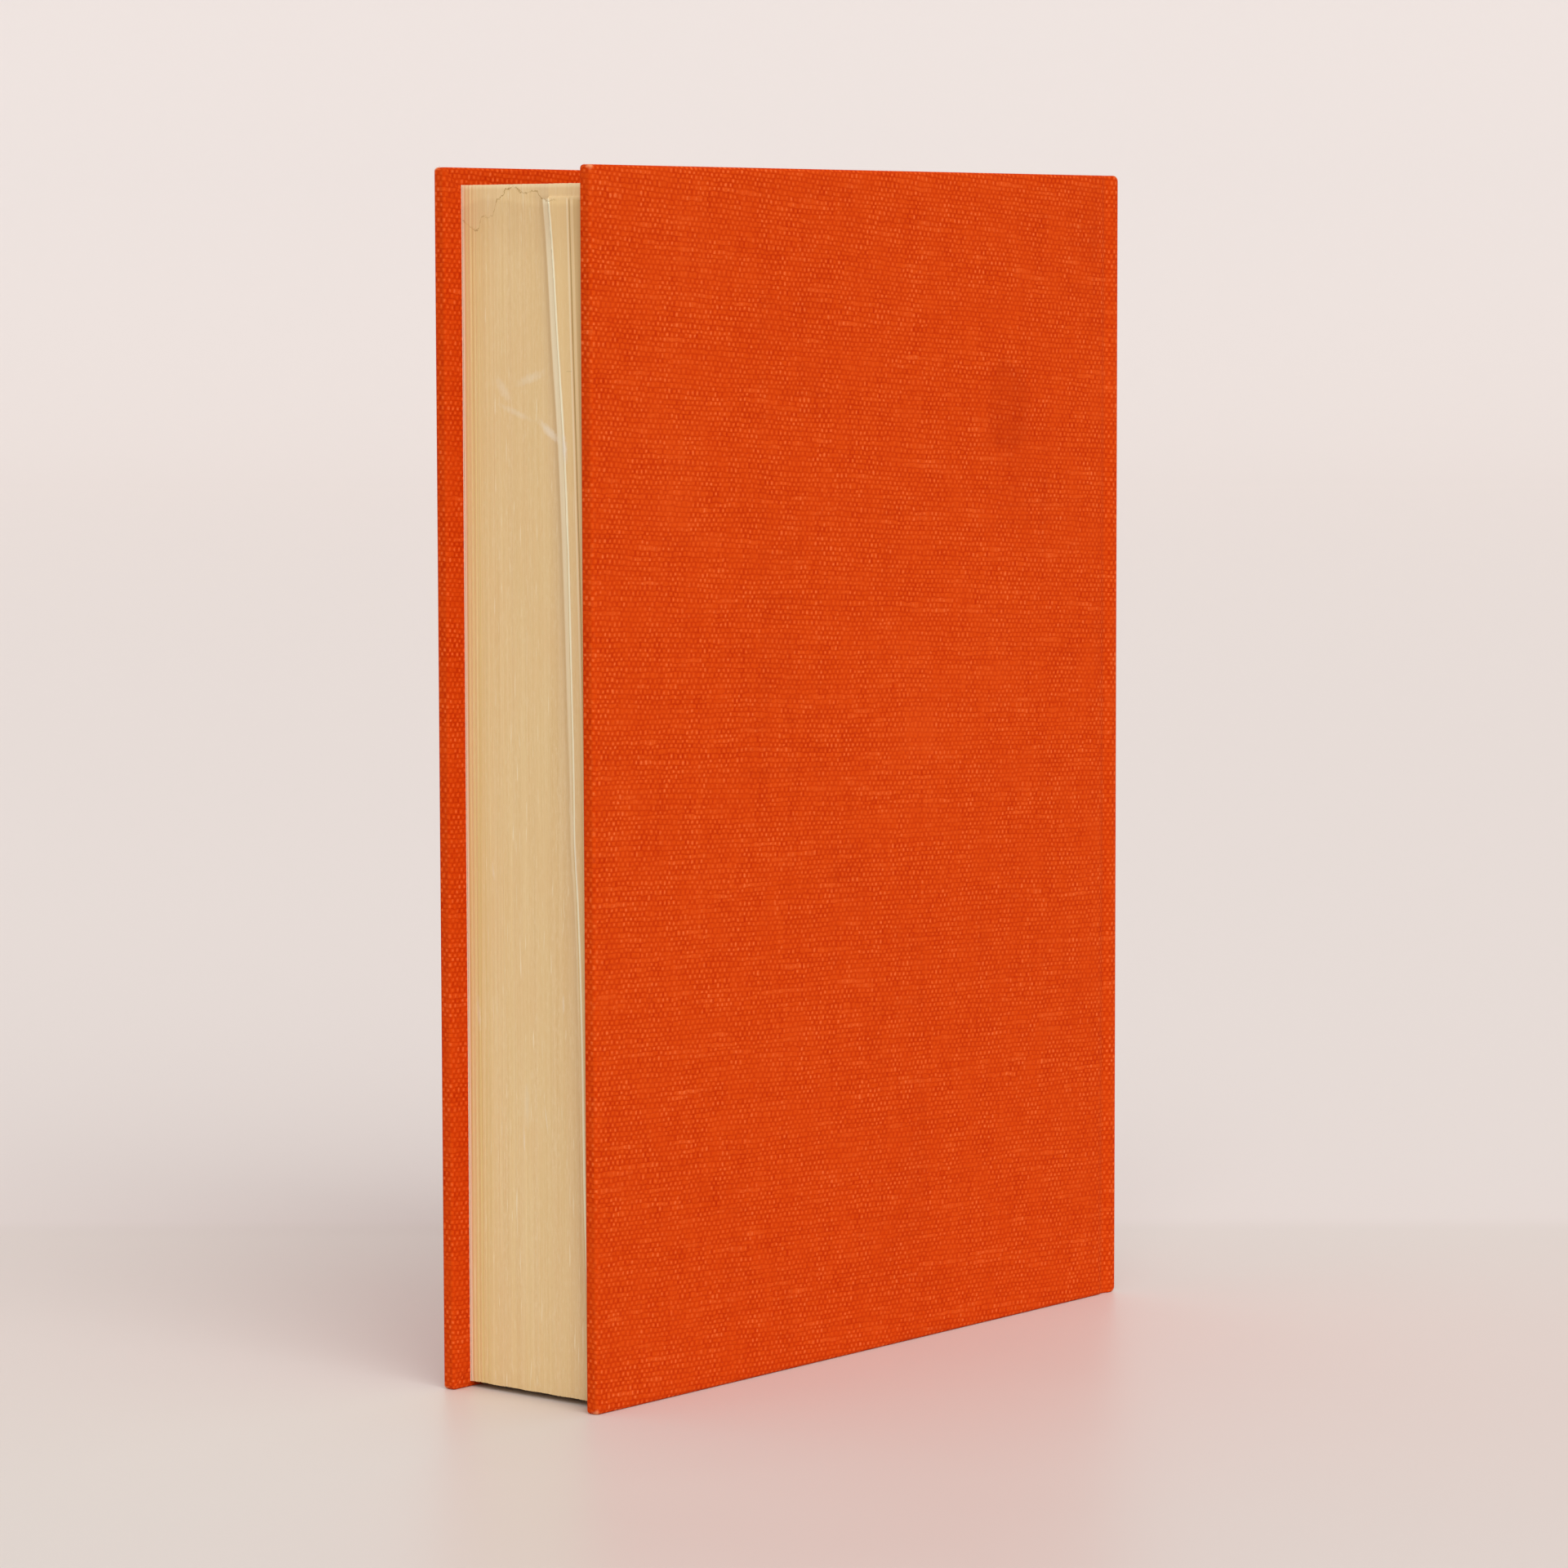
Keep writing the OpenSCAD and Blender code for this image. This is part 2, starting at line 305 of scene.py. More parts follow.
def slow_changes(n, base, u, v):
    """Dye, handling and dust change the cloth slowly over the face, and a stain darkens it in one place."""
    cloudy = n.noise(u, v, 12.0, (34, 46, 1), 3.0, 0.6)
    strips = n.noise(u, v, 18.0, (3.0, 70, 1), 2.0)
    rows = n.noise(u, v, 24.0, (50, 1.6, 1), 2.0)
    shade = n.plus(n.wave(cloudy, 0.16), n.plus(n.wave(strips, 0.10), n.wave(rows, 0.12)))
    base = n.tint(base, n.step(shade, 0.0, 0.34), 0.7, (232, 88, 26))
    base = n.tint(base, n.step(shade, 0.0, -0.30), 0.7, (184, 48, 5))
    for x, z, wide, high in STAINS:
        across = n.times(n.minus(u, x), 1 / wide)
        along = n.times(n.minus(v, z), 1 / high)
        reach = n.math("SQRT", n.plus(n.times(across, across), n.times(along, along)))
        reach = n.plus(reach, n.wave(n.noise(u, v, 30.0, (7, 7, 1)), 0.35))
        base = n.tint(base, n.step(reach, 1.1, 0.75), 0.16, (170, 40, 2))
    return base


def wear(n, base, u, v, bead):
    """The threads are rubbed pale where the cloth turns over the boards' edges, most at the corners."""
    middle = unrolled(case_profile()[0])[0] / MM
    from_middle = n.plus(n.math("ABSOLUTE", n.minus(u, middle)), middle)
    fore = n.math("ABSOLUTE", n.minus(from_middle, FORE / MM - 0.14))
    ends = n.math("ABSOLUTE", n.minus(HEAD / MM / 2, n.math("ABSOLUTE", n.minus(v, HEAD / MM / 2))))
    spine = n.math("ABSOLUTE", n.minus(from_middle, SPINE / MM + 0.4))
    nearest = n.math("MINIMUM", n.math("MINIMUM", fore, ends), spine)
    patchy = n.noise(u, v, 32.0, (1.1, 1.6, 1), 4.0, 0.6)
    rubbed = n.times(n.step(nearest, 0.9, 0.1), n.times(n.step(patchy, 0.45, 0.72), n.plus(bead, 0.3)))
    base = n.tint(base, rubbed, 0.28, (238, 138, 70))
    corner = n.step(n.plus(n.plus(n.math("MINIMUM", fore, spine), ends), n.wave(patchy, 0.9)), 1.3, 0.2)
    return n.tint(base, corner, 0.6, (250, 172, 122))


def cloth_material():
    """Orange book cloth in plain weave, worn at its edges."""
    n = Nodes("cover_cloth")
    u, v, _ = n.flat()
    fibre = n.noise(u, v, 8.0, (0.12, 0.3, 1), 2.0)
    height, bead, base = weave(n, u, v, fibre)
    base = slow_changes(n, base, u, v)
    base = wear(n, base, u, v, bead)
    normal = n.bump(height, 0.08 * MM, 0.6)
    rough = n.plus(0.82, n.wave(fibre, 0.1))
    return n.finish(base, rough, normal, Specular_IOR_Level=0.04, Sheen_Weight=0.02,
                    Sheen_Roughness=0.5, Sheen_Tint=colour(255, 150, 100))


# Where the leaves' edges stand proud: height in millimetres, and the place across Y of the ridge
RIDGE = [(0, 12.0), (17, 11.7), (33, 11.2), (44, 11.0), (60, 10.8), (74, 10.5), (84, 10.1), (94, 9.5),
         (104, 9.4), (117, 9.1), (139, 8.6), (157, 7.9), (177, 6.5), (185, 6.0), (192, 5.5), (199, 4.8),
         (202.1, 4.5)]
# Where the last leaves part from that group: height, and place across Y of the gap
LAST = [(0, 13.2), (60, 12.6), (112, 11.8), (152, 10.8), (175, 10.1), (199, 9.4), (202.1, 9.3)]
# How far the leaves beyond the ridge stand proud, by height
PROUD = [(0, 0.03), (20, 0.05), (50, 0.12), (80, 0.2), (120, 0.26), (160, 0.34), (199.9, 0.4)]
# Height in millimetres of the upper end of those leaves
PROUD_TOP = 199.9
# Bands of painted light and shade on the fanned last leaves (a lit pale band, shadow in the gap, a highlight,
# shade near the cover): left and right beside the gap, strength and colour
FANNED_LIGHT_AND_SHADE = [(-0.6, -0.25, 0.7, (255, 238, 198)), (-0.14, 0.14, 0.7, (170, 138, 84)),
          (0.4, 0.8, 0.5, (250, 228, 182)), (0.95, 3.0, 0.35, (190, 160, 104))]
# Tide mark near the head: place across Y, and height
TIDE = [(-14.7, 196.0), (-13.6, 195.7), (-12.7, 195.1), (-11.3, 194.8), (-10.7, 196.0), (-10.2, 196.7),
        (-8.5, 196.8), (-7.6, 197.6), (-7.0, 199.5), (-5.7, 200.2), (-4.8, 201.3), (-2.9, 201.5),
        (-1.4, 200.7), (0.7, 200.7), (1.8, 201.0), (2.6, 200.2), (3.4, 199.6), (6.0, 199.3)]
# Upper edge of the shade between the tide mark and the loose leaves: place across Y, and height
HEAD_ARC = [(-14.7, 198.0), (-9.0, 199.3), (-7.3, 199.2), (-3.8, 198.8), (-1.1, 198.5), (2.5, 198.2),
            (4.7, 198.3), (14.7, 198.0)]
# Pale scuffs: place across Y, height, half length, half width, lean from upright in degrees, strength
SCUFFS = [(7.9, 159.0, 2.7, 0.75, 6, 1.0), (4.4, 161.6, 3.0, 0.8, 53, 0.7), (-3.0, 164.6, 4.4, 0.6, 71, 0.32),
          (0.4, 170.3, 3.6, 0.9, -73, 0.36), (-5.8, 168.4, 2.6, 1.0, 38, 0.32), (9.6, 93.0, 6.5, 0.4, 6, 0.5),
          (-12.4, 64.0, 3.2, 0.5, 6, 0.4), (-1.6, 49.5, 4.2, 0.7, 0, 0.25), (-8.8, 88.0, 1.6, 0.3, 8, 0.35),
          (6.8, 67.0, 1.6, 0.25, 0, 0.5), (2.8, 47.4, 2.4, 0.18, 8, 0.5), (-2.2, 43.4, 2.6, 0.2, 2, 0.5)]
# A short level scratch: place across Y, height, half length and half width
SCRATCH = (9.2, 171.5, 0.6, 0.05)


def stripe(n, at, left, right, soft):
    """1 between left and right, with soft ends."""
    return n.times(n.step(at, left - soft, left + soft), n.step(at, right + soft, right - soft))


def leaf_colours(n, x, y, z, leaf, leaves, flecks):
    """Cream edges of single leaves, in sections, with the first leaves yellower and more open."""
    sections = n.noise(x, y, z, (300, 2.4, 200), 1.0)
    clouds = n.noise(x, y, z, (24, 9, 24), 3.0)
    base = n.mix(n.step(leaves, 0.25, 0.75), colour(231, 199, 144), colour(238, 209, 158))
    base = n.tint(base, n.step(leaf, 0.46, 0.30), 0.32, (218, 181, 122))
    base = n.tint(base, n.step(leaf, 0.56, 0.72), 0.3, (248, 224, 180))
    base = n.tint(base, n.step(flecks, 0.48, 0.70), 0.4, (247, 224, 182))
    base = n.tint(base, n.step(flecks, 0.46, 0.28), 0.35, (222, 186, 130))
    base = n.tint(base, n.step(sections, 0.40, 0.64), 0.35, (238, 210, 154))
    base = n.tint(base, n.step(clouds, 0.35, 0.7), 0.3, (234, 196, 142))

    # Single leaves catch the light here and there
    dashes = n.step(n.noise(x, y, z, (200, 0.34, 7), 1.0), 0.69, 0.77)
    base = n.tint(base, dashes, 0.55, (255, 242, 208))

    first = n.step(y, -8.0, -12.6)
    lines = n.noise(x, y, z, (200, 0.42, 90), 1.0)
    base = n.mix(n.times(first, n.times(n.step(lines, 0.52, 0.38), 0.5)), base, colour(212, 184, 108))
    base = n.tint(base, first, 0.4, (238, 216, 148))
    return n.tint(base, n.step(y, -14.2, -14.5), 0.8, (250, 226, 196))


def ridge_light_and_shade(n, base, x, y, z, low):
    """Painted shade beside the ridge, where the leaves lie back, and a painted darker line at its foot. The
    ridge is a painted pale lit band and a painted highlight line.
    """
    beside = n.minus(y, n.curve(z, RIDGE, 4.0, 13.0))
    # Painted shade beside the ridge, where the leaves lie back
    back = n.times(n.step(beside, -4.6, -1.0), n.step(beside, 0.1, -0.2))
    high = n.plus(n.times(n.step(z, 50.0, 175.0), 0.6), 0.2)
    base = n.tint(base, n.times(back, high), 0.6, (210, 182, 142))

    broken = n.plus(n.times(n.noise(x, y, z, (200, 0.5, 14), 3.0), 0.7), 0.4)
    wide = n.plus(n.times(n.step(z, 40.0, 180.0), 0.9), 0.7)
    edge = n.plus(beside, wide)
    # Painted shade, deepest just before the pale band
    deep_shade = n.times(n.times(n.step(edge, -1.0, -0.2), n.step(edge, 0.15, -0.1)), n.times(high, low))
    base = n.tint(base, deep_shade, 0.5, (190, 156, 110))
    # Painted light: a pale lit band on the ridge's side
    pale = n.times(n.step(edge, -0.1, 0.25), n.step(beside, -0.32, -0.55))
    pale = n.times(n.times(pale, n.times(high, n.plus(broken, 0.2))), low)
    base = n.mix(n.math("MINIMUM", pale, 1.0), base, colour(246, 232, 198))
    # Painted shade: a thin darker line before the highlight
    dark = n.times(stripe(n, beside, -0.38, -0.2, 0.1), low)
    base = n.tint(base, dark, 0.25, (200, 168, 118))
    # Painted highlight along the ridge's crest
    highlight_strength = n.math("MINIMUM", n.plus(broken, 0.3), 1.0)
    bright = n.times(n.times(stripe(n, beside, -0.12, 0.4, 0.1), highlight_strength), low)
    base = n.mix(bright, base, colour(255, 250, 216))
    group = n.times(n.step(beside, 0.5, 0.9), low)
    return n.mix(n.times(group, n.times(n.step(z, 80.0, 170.0), 0.6)), base, colour(246, 216, 158))


def last_leaves_light_and_shade(n, base, y, z, low):
    """Painted light and shade on the last leaves, which fan out towards the head, and painted shade where the
    pages meet the back cover.
    """
    last = n.minus(y, n.curve(z, LAST, 8.0, 14.0))
    fanned = n.times(n.step(z, 70.0, 150.0), low)
    # Painted light and shade in bands beside the gap
    for left, right, strength, shade in FANNED_LIGHT_AND_SHADE:
        share = n.times(n.times(stripe(n, last, left, right, 0.08), fanned), strength)
        base = n.mix(share, base, colour(*shade))
    # Painted shade cast by the back cover on the pages next to it
    return n.tint(base, n.step(y, 10.8, 12.0), 0.45, (186, 150, 94))


def tide_mark(n, base, x, y, z):
    """Above the tide mark the edges are paler and closed."""
    jagged = n.plus(n.wave(n.noise(x, y, z, (5, 1.1, 1.3), 4.0, 0.65), 0.85),
                    n.wave(n.noise(x, y, z, (5, 0.3, 0.3), 1.0), 0.3))
    above = n.plus(n.minus(z, n.curve(y, TIDE, 192.0, 204.0)), jagged)
    base = n.tint(base, n.step(above, -0.2, 0.4), 0.4, (236, 206, 158))
    mark = n.times(n.step(n.math("ABSOLUTE", above), 0.17, 0.03), n.step(y, 7.0, 5.0))
    faint = n.plus(n.times(n.step(n.noise(x, y, z, (9, 1.6, 1.6), 2.0), 0.38, 0.6), 0.75), 0.25)
    base = n.tint(base, n.times(mark, faint), 0.85, (158, 122, 56))
    arc = n.minus(z, n.curve(y, HEAD_ARC, 196.0, 202.0))
    arc = n.plus(arc, n.wave(n.noise(x, y, z, (9, 3, 3), 1.0), 0.3))
    shade = n.times(n.step(arc, 0.9, -0.1), n.step(arc, -12.0, -1.0))
    base = n.tint(base, shade, 0.22, (204, 166, 116))
    rim = n.step(z, PAGES_HEAD / MM - 0.9, PAGES_HEAD / MM - 0.2)
    return n.tint(base, rim, 0.5, (248, 226, 184))


def scuff_marks(n, base, x, y, z):
    """Chalky scuffs, and one short scratch."""
    chalk = n.noise(x, y, z, (4, 0.5, 0.8), 4.0, 0.7)
    for across, high_up, length, width, lean, strength in SCUFFS:
        turn = math.radians(lean)
        dy = n.minus(y, across)
        dz = n.minus(z, high_up)
        along = n.plus(n.times(dz, math.cos(turn) / length), n.times(dy, -math.sin(turn) / length))
        aside = n.plus(n.times(dy, math.cos(turn) / width), n.times(dz, math.sin(turn) / width))
        reach = n.math("SQRT", n.plus(n.times(along, along), n.times(aside, aside)))
        reach = n.plus(reach, n.wave(chalk, 0.7))
        base = n.tint(base, n.step(reach, 1.25, 0.15), 0.8 * strength, (246, 236, 216))
    across, high_up, length, width = SCRATCH
    scratch = n.times(stripe(n, y, across - length, across + length, 0.15),
                      stripe(n, z, high_up - width, high_up + width, 0.08))
    return n.tint(base, scratch, 0.4, (176, 144, 86))


def pages_material():
    """Aged leaves in a stack, with the marks that their edges carry, and painted light and shade at the ridge
    and the last leaves.
    """
    n = Nodes("pages")
    x, y, z = n.place()
    leaf = n.noise(x, y, z, (260, 0.16, 26), 3.0)
    leaves = n.noise(x, y, z, (180, 0.7, 60), 3.0)
    flecks = n.noise(x, y, z, (8, 0.3, 1.3), 3.0, 0.6)
    below_top = n.step(z, PROUD_TOP, PROUD_TOP - 0.6)
    base = leaf_colours(n, x, y, z, leaf, leaves, flecks)
    base = ridge_light_and_shade(n, base, x, y, z, below_top)
    base = last_leaves_light_and_shade(n, base, y, z, below_top)
    base = tide_mark(n, base, x, y, z)
    base = scuff_marks(n, base, x, y, z)

    # The leaves are browner at head and tail, where their ends lie flat
    fore = n.step(x, PAGES_FORE / MM - 1.5, PAGES_FORE / MM - 0.6)
    base = n.mix(fore, n.mix(leaves, colour(196, 160, 112), colour(216, 184, 136)), base)
    height = n.plus(n.times(leaf, 0.6), n.plus(n.times(leaves, 0.3), n.times(flecks, 0.2)))
    normal = n.bump(height, 0.05 * MM, 0.5)
    return n.finish(base, 0.78, normal, Specular_IOR_Level=0.3)


def paper_material():
    """Aged endpaper: cream, a little mottled, browner towards its edges, with a painted highlight on the free
    leaf's edge at the fore-edge.
    """
    n = Nodes("endpaper")
    u, v, _ = n.flat()
    clouds = n.noise(u, v, 2.0, (38, 38, 1), 4.0, 0.6)
    fibre = n.noise(u, v, 5.0, (0.25, 0.6, 1), 3.0)
    specks = n.noise(u, v, 9.0, (1.6, 1.6, 1), 2.0)
    base = n.mix(clouds, colour(226, 204, 160), colour(238, 220, 182))
    base = n.tint(base, fibre, 0.25, (214, 188, 140))
    ends = n.minus(HEAD / MM / 2, n.math("ABSOLUTE", n.minus(v, HEAD / MM / 2)))
    sides = n.minus(FORE / MM, n.math("ABSOLUTE", u))
    rim = n.plus(n.math("MINIMUM", ends, sides), n.wave(clouds, 8.0))
    base = n.tint(base, n.step(rim, 16.0, 2.0), 0.4, (208, 176, 120))
    # Painted highlight along the free leaf's edge at the pages' fore-edge
    base = n.mix(n.step(u, PAGES_FORE / MM - 0.2, PAGES_FORE / MM - 0.05), base, colour(255, 238, 210))
    base = n.tint(base, n.step(specks, 0.70, 0.78), 0.5, (176, 128, 74))
    normal = n.bump(n.plus(fibre, n.times(clouds, 2.0)), 0.03 * MM, 0.5)
    return n.finish(base, 0.8, normal, Specular_IOR_Level=0.3)


def fibre_material(name, dark, light, scale, rough):
    """Board, card or lining paper: pressed fibre with flecks."""
    n = Nodes(name)
    x, y, z = n.place()
    fleck = n.noise(x, y, z, (scale, scale, scale), 4.0, 0.65)
    cloud = n.noise(x, y, z, (14, 14, 14), 3.0)
    base = n.mix(n.plus(n.times(fleck, 0.7), n.times(cloud, 0.3)), dark, light)
    base = n.tint(base, n.step(fleck, 0.40, 0.30), 0.6, (110, 84, 56))
    return n.finish(base, rough, n.bump(fleck, 0.08 * MM, 0.7), Specular_IOR_Level=0.25)


def gauze_material():
    """Open cotton gauze, stiff with glue: thin threads 1 mm apart."""
    n = Nodes("gauze")
    x, y, z = n.place()
    flat_x = n.plus(x, y)

    def thread(value):
        near = n.math("ABSOLUTE", n.minus(n.math("FRACT", value), 0.5))
        return n.step(near, 0.28, 0.08)

    threads = n.math("MAXIMUM", thread(flat_x), thread(z))
    base = n.mix(threads, colour(176, 146, 96), colour(232, 222, 198))
    return n.finish(base, 0.85, n.bump(threads, 0.12 * MM, 0.8), Specular_IOR_Level=0.2)


# Pitch in millimetres of the thread that is wound round a band
BAND_PITCH = 0.42


def band_material():
    """Cotton thread wound over the bands' cord, in stripes of cream and tan."""
    n = Nodes("band")
    x, y, z = n.place()
    slant = n.plus(y, n.times(n.plus(x, z), 0.5))
    turn = n.math("FRACT", n.times(slant, 1 / BAND_PITCH))
    round_thread = n.math("SINE", n.times(turn, math.pi))
    striped = n.math("FRACT", n.times(slant, 1 / (6 * BAND_PITCH)))
    base = n.mix(n.step(striped, 0.60, 0.66), colour(226, 206, 162), colour(176, 132, 78))
    # Painted shade in the grooves between the turns of thread
    base = n.mix(n.step(round_thread, 0.5, 0.1), base, colour(132, 100, 58))
    fibre = n.noise(x, y, z, (0.2, 0.2, 0.2), 2.0)
    height = n.plus(round_thread, n.times(fibre, 0.3))
    return n.finish(base, 0.75, n.bump(height, 0.1 * MM, 0.9), Specular_IOR_Level=0.25)


def make_mesh(name, points, faces, material, flat=None, sharp=50):
    """An object from points and faces, smooth but for its sharp edges. Flat gives each point's place
    on the unfolded sheet, in millimetres."""
    mesh = bpy.data.meshes.new(name)
    mesh.from_pydata([tuple(p) for p in points], [], [tuple(f) for f in faces])
    if flat is not None:
        layer = mesh.uv_layers.new(name="flat")
        spots = np.asarray(flat, float)
        corners = np.zeros(len(mesh.loops), np.int32)
        mesh.loops.foreach_get("vertex_index", corners)
        layer.data.foreach_set("uv", spots[corners].ravel().astype(np.float32))
    shape = bmesh.new()
    shape.from_mesh(mesh)
    bmesh.ops.remove_doubles(shape, verts=shape.verts, dist=1e-7)
    shape.to_mesh(mesh)
    shape.free()
    mesh.polygons.foreach_set("use_smooth", [True] * len(mesh.polygons))
    mesh.set_sharp_from_angle(angle=math.radians(sharp))
    piece = bpy.data.objects.new(name, mesh)
    bpy.context.scene.collection.objects.link(piece)
    mesh.materials.append(material)
    return piece


def thicken(piece, thickness):
    """Gives a sheet its thickness, behind the side that its faces look to."""
    solid = piece.modifiers.new("thickness", "SOLIDIFY")
    solid.thickness = SHEET_SHARE * thickness
    solid.offset = -1
    solid.use_rim = True
    crisp = piece.modifiers.new("crisp_rim", "EDGE_SPLIT")
    crisp.split_angle = math.radians(65)
    return piece


def grid_faces(rows, columns):
    """Faces of a grid of points that are numbered row by row."""
    return [(r * columns + c, r * columns + c + 1, (r + 1) * columns + c + 1, (r + 1) * columns + c)
            for r in range(rows - 1) for c in range(columns - 1)]


def tube_faces(first, rings, sides, flipped=False):
    """Faces of a closed tube whose rings of points are numbered one after another."""
    faces = []
    for a in range(first, first + (rings - 1) * sides, sides):
        for k in range(sides):
            m = (k + 1) % sides
            faces.append((a + k, a + m, a + sides + m, a + sides + k))
    faces.append(tuple(reversed(range(first, first + sides))))
    faces.append(tuple(range(first + (rings - 1) * sides, first + rings * sides)))
    return [tuple(reversed(f)) for f in faces] if flipped else faces


def unevenness(x, z, seed):
    """Slow swells of the board under the cloth, from -1 to 1."""
    a = np.sin(x * 52 + seed) * np.cos(z * 41 + 2 * seed)
    b = np.sin(x * 97 + z * 63 + 3 * seed)
    return 0.65 * a + 0.35 * b


def case_profile():
    """The cloth's outer line and the line it is turned in along, from the middle of the spine to the
    back cover's fore-edge. Each is a list of points (x, y)."""
    inner_y = HALF - 2 * CLOTH
    inner_round = 0.3 * MM
    turned_x = CARD_IN + CLOTH
    wall_x = BOARD - CLOTH
    outer, inner = [], []

    def add(x, y, in_x, in_y):
        outer.append((x, y))
        inner.append((in_x, in_y))

    for y in np.linspace(0, HALF - SPINE_ROUND, 12):
        add(SPINE, y, turned_x, min(y, inner_y - inner_round))
    for angle in np.radians(np.linspace(180, 90, 8)[1:]):
        add(SPINE + SPINE_ROUND * (1 + math.cos(angle)), HALF - SPINE_ROUND * (1 - math.sin(angle)),
            turned_x, inner_y - inner_round * (1 - math.sin(angle)))
    for x in np.linspace(SPINE + SPINE_ROUND, CARD_IN, 4)[1:]:
        add(x, HALF, turned_x, inner_y)
    for x in np.linspace(CARD_IN, BOARD, 21)[1:]:
        y = HALF - dip(x)
        down = smooth_step(x, wall_x - inner_round, BOARD)
        in_x = min(max(x, turned_x), wall_x) if down < 1 else wall_x
        add(x, y, in_x, inner_y - dip(x) - (COVER - 2 * CLOTH) * down)
    for x in np.linspace(BOARD, FORE - EDGE_ROUND, 71)[1:]:
        add(x, HALF, x, HALF - COVER)
    return np.array(outer), np.array(inner)


def distances(line):
    """How far along a line each of its points lies."""
    return np.concatenate([[0], np.cumsum(np.hypot(*np.diff(line, axis=0).T))])


def unrolled(line):
    """How far along the cloth each point of the case's outer line lies. The back cover's fore-edge keeps
    its own place along X."""
    along = distances(line)
    return along + FORE - EDGE_ROUND - along[-1]


# Places across the turned-in margin, in millimetres from the edge, up to its full width
TURN_IN_STEPS = np.array((0.5, 1.2, 2.4, 4.5, 8, 11, 14))


def edge_section(depth, outer_round, inner_round):
    """How the cloth goes round an edge of that depth: a list of (share of the depth, distance beyond
    the last point of the face, distance along the cloth)."""
    steps = []
    straight = depth - outer_round - inner_round
    for angle in np.radians(np.linspace(0, 90, 6)[1:]):
        steps.append((outer_round * (1 - math.cos(angle)) / depth, outer_round * math.sin(angle),
                      outer_round * angle))
    along = outer_round * math.pi / 2
    steps.append(((outer_round + straight / 2) / depth, outer_round, along + straight / 2))
    along += straight
    for angle in np.radians(np.linspace(0, 90, 6)):
        steps.append((1 - inner_round * (1 - math.sin(angle)) / depth,
                      outer_round - inner_round * (1 - math.cos(angle)), along + inner_round * angle))
    along += inner_round * math.pi / 2
    for inset in TURN_IN_STEPS * MM:
        steps.append((1.0, outer_round - inset, along + inset - inner_round))
    return steps


def case_cloth(name, side, material, seed):
    """Half of the covering cloth: from the middle of the spine round the joint to the fore-edge, and
    turned in at three edges. Side is 1 at the back and -1 at the front."""
    outer, inner = case_profile()
    columns = len(outer)
    rows = 104
    along = unrolled(outer)
    spine_share = 1 - smooth_step(outer[:, 0], SPINE, SPINE + 2 * SPINE_END_ROUND)
    end_round = EDGE_ROUND + (SPINE_END_ROUND - EDGE_ROUND) * spine_share
    depths = np.hypot(*(outer - inner).T)
    # Where the edge is shallow, its two bends are small enough to fit into it
    end_round = np.minimum(end_round, depths * 0.55)
    inner_round = np.minimum(0.5 * MM, depths * 0.35)

    points, flat = [], []
    for row in np.linspace(0, 1, rows):
        z = end_round + (HEAD - 2 * end_round) * row
        swell = unevenness(outer[:, 0], z, seed) * smooth_step(outer[:, 0], BOARD, BOARD + 8 * MM)
        edge = np.minimum(np.minimum(z, HEAD - z), FORE - outer[:, 0])
        swell = swell * smooth_step(edge, 0, 12 * MM) * 0.05 * MM
        points += list(zip(outer[:, 0], outer[:, 1] + swell, z))
        flat += list(zip(along / MM, z / MM))
    faces = grid_faces(rows, columns)

    # The way round the three edges: point of the face, point of the profile, and outward direction
    fan = np.radians(np.linspace(0, 90, 7)[1:-1])
    path = [(c, c, 0.0, -1.0) for c in range(columns)]
    last = columns - 1
    path += [(last, last, math.sin(a), -math.cos(a)) for a in fan]
    path += [(r * columns + last, last, 1.0, 0.0) for r in range(rows)]
    path += [((rows - 1) * columns + last, last, math.cos(a), math.sin(a)) for a in fan]
    path += [((rows - 1) * columns + c, c, 0.0, 1.0) for c in reversed(range(columns))]

    previous = [vertex for vertex, _, _, _ in path]
    sections = [edge_section(depths[c], end_round[c], inner_round[c]) for _, c, _, _ in path]
    for ring in range(len(sections[0])):
        current = []
        for (vertex, c, nx, nz), section in zip(path, sections):
            share, beyond, run = section[ring]
            x = points[vertex][0] + (inner[c][0] - outer[c][0]) * share + nx * beyond
            y = points[vertex][1] + (inner[c][1] - points[vertex][1]) * share
            z = points[vertex][2] + nz * beyond
            inset = max(end_round[c] - beyond, 0)
            if inset > EDGE_ROUND:
                x = min(x, FORE - inset)
                z = min(max(z, inset), HEAD - inset)
            u = flat[vertex][0] + nx * run / MM
            v = flat[vertex][1] + nz * run / MM
            if nx == 0 and inset > EDGE_ROUND:
                u = min(u, x / MM) if x > BOARD else u
            if nz == 0:
                v = z / MM
            current.append(len(points))
            points.append((x, y, z))
            flat.append((u, v))
        for i in range(len(path) - 1):
            a, b, c, d = previous[i], previous[i + 1], current[i + 1], current[i]
            faces.append((a, d, c, b) if a != b else (a, d, c))
        previous = current

    if side > 0:
        faces = [tuple(reversed(f)) for f in faces]
    else:
        middle = along[0] / MM
        flat = [(2 * middle - u, v) for u, v in flat]
    points = [(x, side * y, z) for x, y, z in points]
    piece = make_mesh(name, points, faces, material, flat, sharp=60)
    return thicken(piece, CLOTH)


